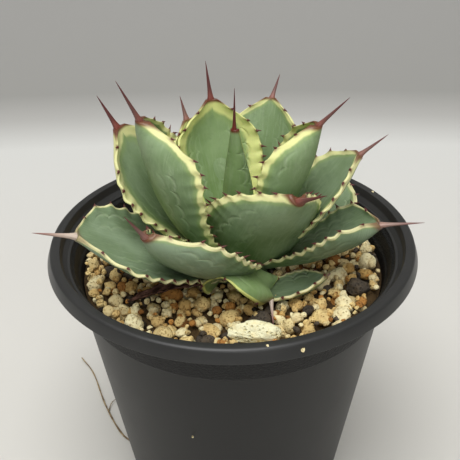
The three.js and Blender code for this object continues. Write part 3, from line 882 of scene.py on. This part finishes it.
def build_potting_mix():
    """The bed of the mix, and the loose grains that show on top of it."""
    random = np.random.default_rng(41)
    levels = [FLOOR + SOIL_GAP, (FLOOR + SOIL_Z) / 2, BED_Z]
    rings = [(AXIS_RADIUS, levels[0]), *((bore_radius(z) - SOIL_GAP, z) for z in levels)]
    rings += [(r, BED_Z + 0.6 * (1 - r / 52)) for r in (46, 36, 26, 16, 8, AXIS_RADIUS)]
    bed = Shell()
    bed.loft(turned_body(rings, BED_SIDES)[::-1], tone=np.full(BED_SIDES * len(rings), 0.5))
    bed.build("soil_bed", [SOIL], "grit", ["potting_mix"])
    solid = [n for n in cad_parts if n.startswith("leaf") or n in ("centre_bud", "stem")]
    solid += [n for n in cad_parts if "stone" in n]
    trees = [
        BVHTree.FromPolygons(
            [v.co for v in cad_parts[n].data.vertices],
            [p.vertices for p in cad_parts[n].data.polygons])
        for n in solid]
    directions, faces = ball(3)
    shells = {name: Shell() for name, _, _ in GRAIN_KINDS}
    names = [name for name, _, _ in GRAIN_KINDS]
    odds = [share for _, _, share in GRAIN_KINDS]
    edge = bore_radius(SOIL_Z) - 0.5
    for level, tries, low, high in GRAIN_LAYERS:
        layer = np.zeros((0, 4))
        for _ in range(tries):
            r = random.uniform(low, high)
            if random.random() < LARGE_GRAIN_SHARE:
                r = r * LARGE_GRAIN_SCALE
            far = (edge - r) * math.sqrt(random.random())
            angle = random.uniform(0, 2 * np.pi)
            spot = np.array([far * np.cos(angle), far * np.sin(angle)])
            if len(layer):
                away = np.linalg.norm(layer[:, :2] - spot, axis=1)
                if (away < (layer[:, 3] + r) * GRAIN_SPACING).any():
                    continue
            z = SOIL_Z + level + random.uniform(-0.5, 0.5) + 0.8 * (1 - far / edge)
            place = np.array([*spot, z])
            if min(nearby(tree, place) for tree in trees) < r * 0.8:
                continue
            layer = np.vstack([layer, [*place, r]])
            sides = r * random.uniform(0.72, 1.16, 3) * np.array([1, 1, 0.86])
            lump = directions * chipped(random, directions)[:, None] * sides
            twist = Matrix.Rotation(random.uniform(0, 6.3), 3, "Z") @ Matrix.Rotation(
                random.uniform(-0.5, 0.5), 3, "X")
            lump = lump @ np.array(twist).T + place
            kind = random.choice(len(names), p=odds)
            shells[names[kind]].add(
                lump, faces, tone=np.full(len(lump), random.random() ** 1.5))
    for name, material, _ in GRAIN_KINDS:
        shells[name].build(name, [material], "grit", ["potting_mix"])


# Heading, height, distance from the pot's axis and radius of each crumb.
CRUMBS = (
    (-81, RIM_Z - 0.2, 59.0, 0.55), (-72, RIM_Z - 2, RIM_RADIUS + 0.9, 0.7),
    (-67, RIM_Z - 9, COLLAR_RADIUS + 0.2, 0.45), (-106, RIM_Z - 47, 48.2, 0.4),
    (28, RIM_Z - 0.1, 58.6, 0.5), (190, RIM_Z - 12, COLLAR_RADIUS + 0.2, 0.4))


def build_crumbs():
    """Stray crumbs of the mix that cling to the outside of the rim and wall."""
    random = np.random.default_rng(12)
    directions, faces = ball(3)
    shell = Shell()
    for heading, height, surface, radius in CRUMBS:
        spot = np.array([*(direction(heading, 0)[:2] * surface), height])
        lump = directions * chipped(random, directions)[:, None] * radius + spot
        shell.add(lump, faces, tone=np.full(len(lump), 0.1))
    shell.build("stray_crumbs", [CREAM_GRAIN], "grit")


def path_through(points, count):
    """Evenly spaced points on a smooth curve through a few points."""
    points = np.array(points, float)
    padded = np.vstack([2 * points[0] - points[1], points, 2 * points[-1] - points[-2]])
    out = []
    for i in range(len(points) - 1):
        a, b, c, d = padded[i:i + 4]
        for t in np.linspace(0, 1, 24, endpoint=False):
            out.append(0.5 * (
                2 * b + (c - a) * t + (2 * a - 5 * b + 4 * c - d) * t**2
                + (3 * b - a - 3 * c + d) * t**3))
    out = np.array([*out, points[-1]])
    run = np.concatenate([[0], np.cumsum(np.linalg.norm(np.diff(out, axis=0), axis=1))])
    even = np.linspace(0, run[-1], count)
    return np.stack([np.interp(even, run, out[:, k]) for k in range(3)], -1)


def frames_along(route):
    """Sideways and upward directions at each point of a route."""
    forward = unit(np.gradient(route, axis=0))
    side = unit(np.cross(forward, [0.0, 0.0, 1.0]))
    return side, np.cross(side, forward)


def add_strand(shell, route, radii, random):
    """A knobbly round strand along a route."""
    side, up = frames_along(route)
    angle = 2 * np.pi * np.arange(STRAND_SIDES) / STRAND_SIDES
    knots = 1 + 0.14 * np.sin(np.linspace(0, 40, len(route)) + random.uniform(0, 6))
    r = (radii * knots)[:, None, None]
    cosine, sine = np.cos(angle)[None, :, None], np.sin(angle)[None, :, None]
    shell.loft(route[:, None] + r * (cosine * side[:, None] + sine * up[:, None]))


# The root's route over the surface that the pot stands on.
ROOT_ROUTE = (
    (-39.9, 3.9, 0.5), (-47.3, 10, 0.5), (-56.3, 26, 1.1), (-64.8, 47, 0.8), (-71.8, 57, 1.7))
ROOT_STEPS = 90
FORK_STEP = 34  # where the side root leaves the root
FORK_STEPS = 24


def build_root():
    """The dry root that has grown out under the base, with a short side root."""
    random = np.random.default_rng(3)
    shell = Shell()
    main = path_through(ROOT_ROUTE, ROOT_STEPS)
    add_strand(shell, main, np.linspace(0.42, 0.24, ROOT_STEPS), random)
    start = main[FORK_STEP]
    fork = path_through((start, start + [0.6, 5, 0.1], start + [3.2, 9, 0.0]), FORK_STEPS)
    fork[:, 2] = np.maximum(fork[:, 2], 0.3)
    add_strand(shell, fork, np.linspace(0.24, 0.1, FORK_STEPS), random)
    shell.build("dry_root_strands", [ROOT_SKIN], "root", ["dry_root"])


# The withered leaf's route, with heights above the crown.
WITHERED_ROUTE = ((-10, -16, 1.6), (-18, -19, 1.9), (-26, -22, 1.6), (-33, -26, 1.2))
WITHERED_HALF_WIDTH = 3.2
WITHERED_THICKNESS = 0.35


def build_withered_leaf():
    """A shrunken, twisted old leaf that lies on the mix."""
    random = np.random.default_rng(8)
    rows, columns = 90, 15
    route = path_through([(x, y, CROWN_Z + up) for x, y, up in WITHERED_ROUTE], rows)
    side, up = frames_along(route)
    along = np.linspace(0, 1, rows)[:, None]
    across = np.linspace(1, -1, columns)[None, :]
    half = WITHERED_HALF_WIDTH * (1 - along) ** 0.7 + 0.4
    half = half + 0.35 * np.sin(23 * along + random.uniform(0, 6))
    crumple = 0.5 * np.sin(19 * along + 4 * across) * np.sin(9 * across + 31 * along)
    curl = 1.5 * across**2 + crumple + 0.3 * np.sin(60 * along + 9 * across)
    top = (
        route[:, None] + side[:, None] * (half * across * 0.85)[..., None]
        + up[:, None] * (curl * 0.8 * half / WITHERED_HALF_WIDTH)[..., None])
    under = top[:, ::-1] - np.array([0, 0, WITHERED_THICKNESS])
    shell = Shell()
    shell.loft(np.concatenate([top, under], 1))
    shell.build("withered_leaf_crumpled", [WITHERED], "dry_leaf", ["withered_leaf"])


def build_stem():
    """The short stem that the leaves clasp."""
    shell = Shell()
    loops = np.array(turned_body(STEM_PROFILE, STEM_SIDES)) + [*PLANT, CROWN_Z]
    count = len(STEM_PROFILE) * STEM_SIDES
    shell.loft(loops, rim=np.full(count, 4.0), youth=np.full(count, 0.4), along=np.zeros(count))
    shell.build("stem_flesh", [FLESH], "leaf_tissue", ["stem"])


# ---- The object ---------------------------------------------------------------------------

build_pot()
build_potting_mix()
build_stem()
for seed, (leaf_name, facts) in enumerate(LEAVES.items()):
    Leaf(leaf_name, seed + 100, **facts).build()
build_crumbs()
build_withered_leaf()
build_stone("pumice_stone", PUMICE, "pumice", 5)
build_stone("lava_stone_right", DARK_GRAIN, "lava", 6, 4)
build_stone("lava_stone_front", DARK_GRAIN, "lava", 7, 4)
build_root()


# ---- Stage, light and camera --------------------------------------------------------------


def build_stage():
    """A round sweep of paper: level near the object, then rising all round it."""
    outer, corner, height, sides = 1.7, 0.5, 2.2, 96
    profile = [(0.001, 0), (0.15, 0), (outer - corner, 0)]
    profile += [
        (outer - corner + corner * math.sin(a), corner * (1 - math.cos(a)))
        for a in np.radians(range(10, 91, 10))]
    profile += [(outer, height)]
    angle = 2 * np.pi * np.arange(sides) / sides
    points = [(r * math.cos(a), r * math.sin(a), z) for r, z in profile for a in angle]
    faces = [
        (k + i, k + j, k + sides + j, k + sides + i)
        for k in range(0, (len(profile) - 1) * sides, sides)
        for i, j in ((i, (i + 1) % sides) for i in range(sides))]
    mesh = bpy.data.meshes.new("studio_sweep")
    mesh.from_pydata(points, [], faces)
    mesh.materials.append(studio_paper())
    mesh.polygons.foreach_set("use_smooth", [True] * len(faces))
    new_object("studio_sweep", mesh)


def add_light(name, place, target, size, power):
    """A round lamp, size metres across, that faces its target."""
    data = bpy.data.lights.new(name, "AREA")
    data.shape, data.size, data.energy = "DISK", size, power
    light = new_object(name, data)
    light.location = place
    light.rotation_euler = (Vector(target) - Vector(place)).to_track_quat("-Z", "Y").to_euler()


def add_camera():
    """Looks down at the plant from the front, a little above the rim."""
    data = bpy.data.cameras.new("camera")
    data.lens, data.sensor_width, data.shift_x = 58.7, 36, -0.005
    data.clip_start, data.clip_end = 0.01, 10
    camera = new_object("camera", data)
    tilt = Matrix.Rotation(math.radians(58.66), 4, "X")
    turn = Matrix.Rotation(math.radians(-0.68), 4, "Z")
    camera.matrix_world = Matrix.Translation((0, -0.2148, 0.2369)) @ (tilt @ turn)
    bpy.context.scene.camera = camera


build_stage()
add_light("overhead_softbox", (-0.1, -0.3, 1.05), (0, 0, 0.1), 0.8, 8.5)
add_light("front_fill", (0.15, -1.0, 0.6), (0, 0, 0.08), 0.8, 2.6)
world = bpy.data.worlds.new("studio")
world.use_nodes = True
world.node_tree.nodes["Background"].inputs["Color"].default_value = (1, 1, 1, 1)
world.node_tree.nodes["Background"].inputs["Strength"].default_value = 0.85
bpy.context.scene.world = world
bpy.context.scene.view_settings.view_transform = "Standard"
add_camera()
